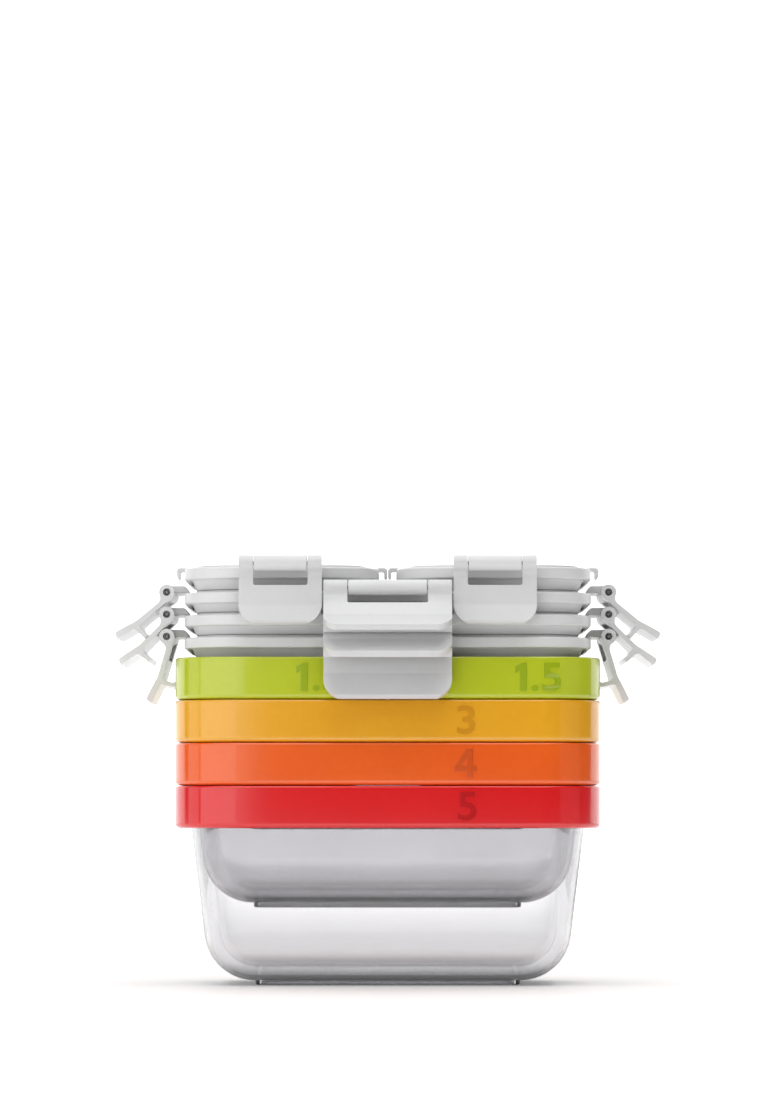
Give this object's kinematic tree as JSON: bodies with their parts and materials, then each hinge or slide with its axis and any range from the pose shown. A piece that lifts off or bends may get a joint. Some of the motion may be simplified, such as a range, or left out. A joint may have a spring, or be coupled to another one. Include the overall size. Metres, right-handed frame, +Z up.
{
  "type": "nested food container set",
  "caption": "Nested set of clear tapered food tubs with coloured rims, topped by a stack of white lids whose hinged snap latches hang over the sides.",
  "frame": {"origin": "centre of the set's footprint, on the surface it stands on", "axes": "+X along the rims' long side, +Y to the back, +Z up"},
  "size_m": [0.228, 0.1856, 0.1767],
  "materials": {
    "tub_clear": "clear, polished",
    "rim_red": "satin",
    "rim_orange": "satin",
    "rim_yellow": "satin",
    "rim_green": "satin",
    "lid_white": "satin gloss",
    "latch_white": "satin gloss",
    "gasket": "silicone, matte",
    "hinge_pin": "drawn wire"
  },
  "bodies": {
    "container_5cup": {"tub_5cup": "tub_clear", "rim_5cup": "rim_red"},
    "container_4cup": {"tub_4cup": "tub_clear", "rim_4cup": "rim_orange"},
    "container_3cup": {"tub_3cup": "tub_clear", "rim_3cup": "rim_yellow"},
    "container_half_left": {"tub_half_left": "tub_clear", "rim_half_left": "rim_green"},
    "container_half_right": {"tub_half_right": "tub_clear", "rim_half_right": "rim_green"},
    "lid_c_body": {"lid_c": "lid_white", "gasket_c": "gasket", "hinge_pins_c": "hinge_pin"},
    "lid_b_body": {"lid_b": "lid_white", "gasket_b": "gasket", "hinge_pins_b": "hinge_pin"},
    "lid_a_body": {"lid_a": "lid_white", "gasket_a": "gasket", "hinge_pins_a": "hinge_pin"},
    "lid_half_left_body": {"lid_half_left": "lid_white", "gasket_half_left": "gasket", "hinge_pins_half_left": "hinge_pin"},
    "lid_half_right_body": {"lid_half_right": "lid_white", "gasket_half_right": "gasket", "hinge_pins_half_right": "hinge_pin"},
    "flap_c_front": {"latch_c_front": "latch_white"},
    "flap_c_back": {"latch_c_back": "latch_white"},
    "flap_c_left": {"latch_c_left": "latch_white"},
    "flap_c_right": {"latch_c_right": "latch_white"},
    "flap_b_front": {"latch_b_front": "latch_white"},
    "flap_b_back": {"latch_b_back": "latch_white"},
    "flap_b_left": {"latch_b_left": "latch_white"},
    "flap_b_right": {"latch_b_right": "latch_white"},
    "flap_a_front": {"latch_a_front": "latch_white"},
    "flap_a_back": {"latch_a_back": "latch_white"},
    "flap_a_left": {"latch_a_left": "latch_white"},
    "flap_a_right": {"latch_a_right": "latch_white"},
    "flap_half_left_front": {"latch_half_left_front": "latch_white"},
    "flap_half_left_back": {"latch_half_left_back": "latch_white"},
    "flap_half_right_front": {"latch_half_right_front": "latch_white"},
    "flap_half_right_back": {"latch_half_right_back": "latch_white"}
  },
  "joints": [
    {"name": "lift_4cup", "type": "slide", "parent": "container_5cup", "child": "container_4cup", "axis": [0, 0, 1], "range_m": [0, 0.06]},
    {"name": "lift_3cup", "type": "slide", "parent": "container_4cup", "child": "container_3cup", "axis": [0, 0, 1], "range_m": [0, 0.045]},
    {"name": "lift_half_left", "type": "slide", "parent": "container_3cup", "child": "container_half_left", "axis": [0, 0, 1], "range_m": [0, 0.055]},
    {"name": "lift_half_right", "type": "slide", "parent": "container_3cup", "child": "container_half_right", "axis": [0, 0, 1], "range_m": [0, 0.055]},
    {"name": "lift_lid_c", "type": "slide", "parent": "container_half_left", "child": "lid_c_body", "axis": [0, 0, 1], "range_m": [0, 0.025]},
    {"name": "lift_lid_b", "type": "slide", "parent": "lid_c_body", "child": "lid_b_body", "axis": [0, 0, 1], "range_m": [0, 0.025]},
    {"name": "lift_lid_a", "type": "slide", "parent": "lid_b_body", "child": "lid_a_body", "axis": [0, 0, 1], "range_m": [0, 0.025]},
    {"name": "lift_lid_half_left", "type": "slide", "parent": "lid_a_body", "child": "lid_half_left_body", "axis": [0, 0, 1], "range_m": [0, 0.03]},
    {"name": "lift_lid_half_right", "type": "slide", "parent": "lid_a_body", "child": "lid_half_right_body", "axis": [0, 0, 1], "range_m": [0, 0.03]},
    {"name": "swing_c_front", "type": "hinge", "parent": "lid_c_body", "child": "flap_c_front", "pos_m": [0, -0.0703, 0.14495], "axis": [-1, 0, 0], "range_deg": [0, 90]},
    {"name": "swing_c_back", "type": "hinge", "parent": "lid_c_body", "child": "flap_c_back", "pos_m": [0, 0.0703, 0.14495], "axis": [1, 0, 0], "range_deg": [0, 90]},
    {"name": "swing_c_left", "type": "hinge", "parent": "lid_c_body", "child": "flap_c_left", "pos_m": [-0.0923, 0, 0.14495], "axis": [0, 1, 0], "range_deg": [0, 90]},
    {"name": "swing_c_right", "type": "hinge", "parent": "lid_c_body", "child": "flap_c_right", "pos_m": [0.0923, 0, 0.14495], "axis": [0, -1, 0], "range_deg": [0, 90]},
    {"name": "swing_b_front", "type": "hinge", "parent": "lid_b_body", "child": "flap_b_front", "pos_m": [0, -0.0703, 0.1542], "axis": [-1, 0, 0], "range_deg": [0, 90]},
    {"name": "swing_b_back", "type": "hinge", "parent": "lid_b_body", "child": "flap_b_back", "pos_m": [0, 0.0703, 0.1542], "axis": [1, 0, 0], "range_deg": [0, 90]},
    {"name": "swing_b_left", "type": "hinge", "parent": "lid_b_body", "child": "flap_b_left", "pos_m": [-0.0923, 0, 0.1542], "axis": [0, 1, 0], "range_deg": [0, 90]},
    {"name": "swing_b_right", "type": "hinge", "parent": "lid_b_body", "child": "flap_b_right", "pos_m": [0.0923, 0, 0.1542], "axis": [0, -1, 0], "range_deg": [0, 90]},
    {"name": "swing_a_front", "type": "hinge", "parent": "lid_a_body", "child": "flap_a_front", "pos_m": [0, -0.0703, 0.16345], "axis": [-1, 0, 0], "range_deg": [0, 99]},
    {"name": "swing_a_back", "type": "hinge", "parent": "lid_a_body", "child": "flap_a_back", "pos_m": [0, 0.0703, 0.16345], "axis": [1, 0, 0], "range_deg": [0, 99]},
    {"name": "swing_a_left", "type": "hinge", "parent": "lid_a_body", "child": "flap_a_left", "pos_m": [-0.0923, 0, 0.16345], "axis": [0, 1, 0], "range_deg": [0, 99]},
    {"name": "swing_a_right", "type": "hinge", "parent": "lid_a_body", "child": "flap_a_right", "pos_m": [0.0923, 0, 0.16345], "axis": [0, -1, 0], "range_deg": [0, 99]},
    {"name": "swing_half_left_front", "type": "hinge", "parent": "lid_half_left_body", "child": "flap_half_left_front", "pos_m": [-0.044, -0.0703, 0.1735], "axis": [-1, 0, 0], "range_deg": [-4, 130]},
    {"name": "swing_half_left_back", "type": "hinge", "parent": "lid_half_left_body", "child": "flap_half_left_back", "pos_m": [-0.044, 0.0703, 0.1735], "axis": [1, 0, 0], "range_deg": [-4, 130]},
    {"name": "swing_half_right_front", "type": "hinge", "parent": "lid_half_right_body", "child": "flap_half_right_front", "pos_m": [0.044, -0.0703, 0.1735], "axis": [-1, 0, 0], "range_deg": [-4, 130]},
    {"name": "swing_half_right_back", "type": "hinge", "parent": "lid_half_right_body", "child": "flap_half_right_back", "pos_m": [0.044, 0.0703, 0.1735], "axis": [1, 0, 0], "range_deg": [-4, 130]}
  ],
  "couplings": [
    {"joint": "lift_half_right", "follows": "lift_half_left", "ratio": 1},
    {"joint": "swing_b_front", "follows": "swing_c_front", "ratio": 1},
    {"joint": "swing_b_back", "follows": "swing_c_back", "ratio": 1},
    {"joint": "swing_b_left", "follows": "swing_c_left", "ratio": 1},
    {"joint": "swing_b_right", "follows": "swing_c_right", "ratio": 1},
    {"joint": "swing_a_front", "follows": "swing_c_front", "ratio": 1.1},
    {"joint": "swing_a_back", "follows": "swing_c_back", "ratio": 1.1},
    {"joint": "swing_a_left", "follows": "swing_c_left", "ratio": 1.1},
    {"joint": "swing_a_right", "follows": "swing_c_right", "ratio": 1.1}
  ]
}
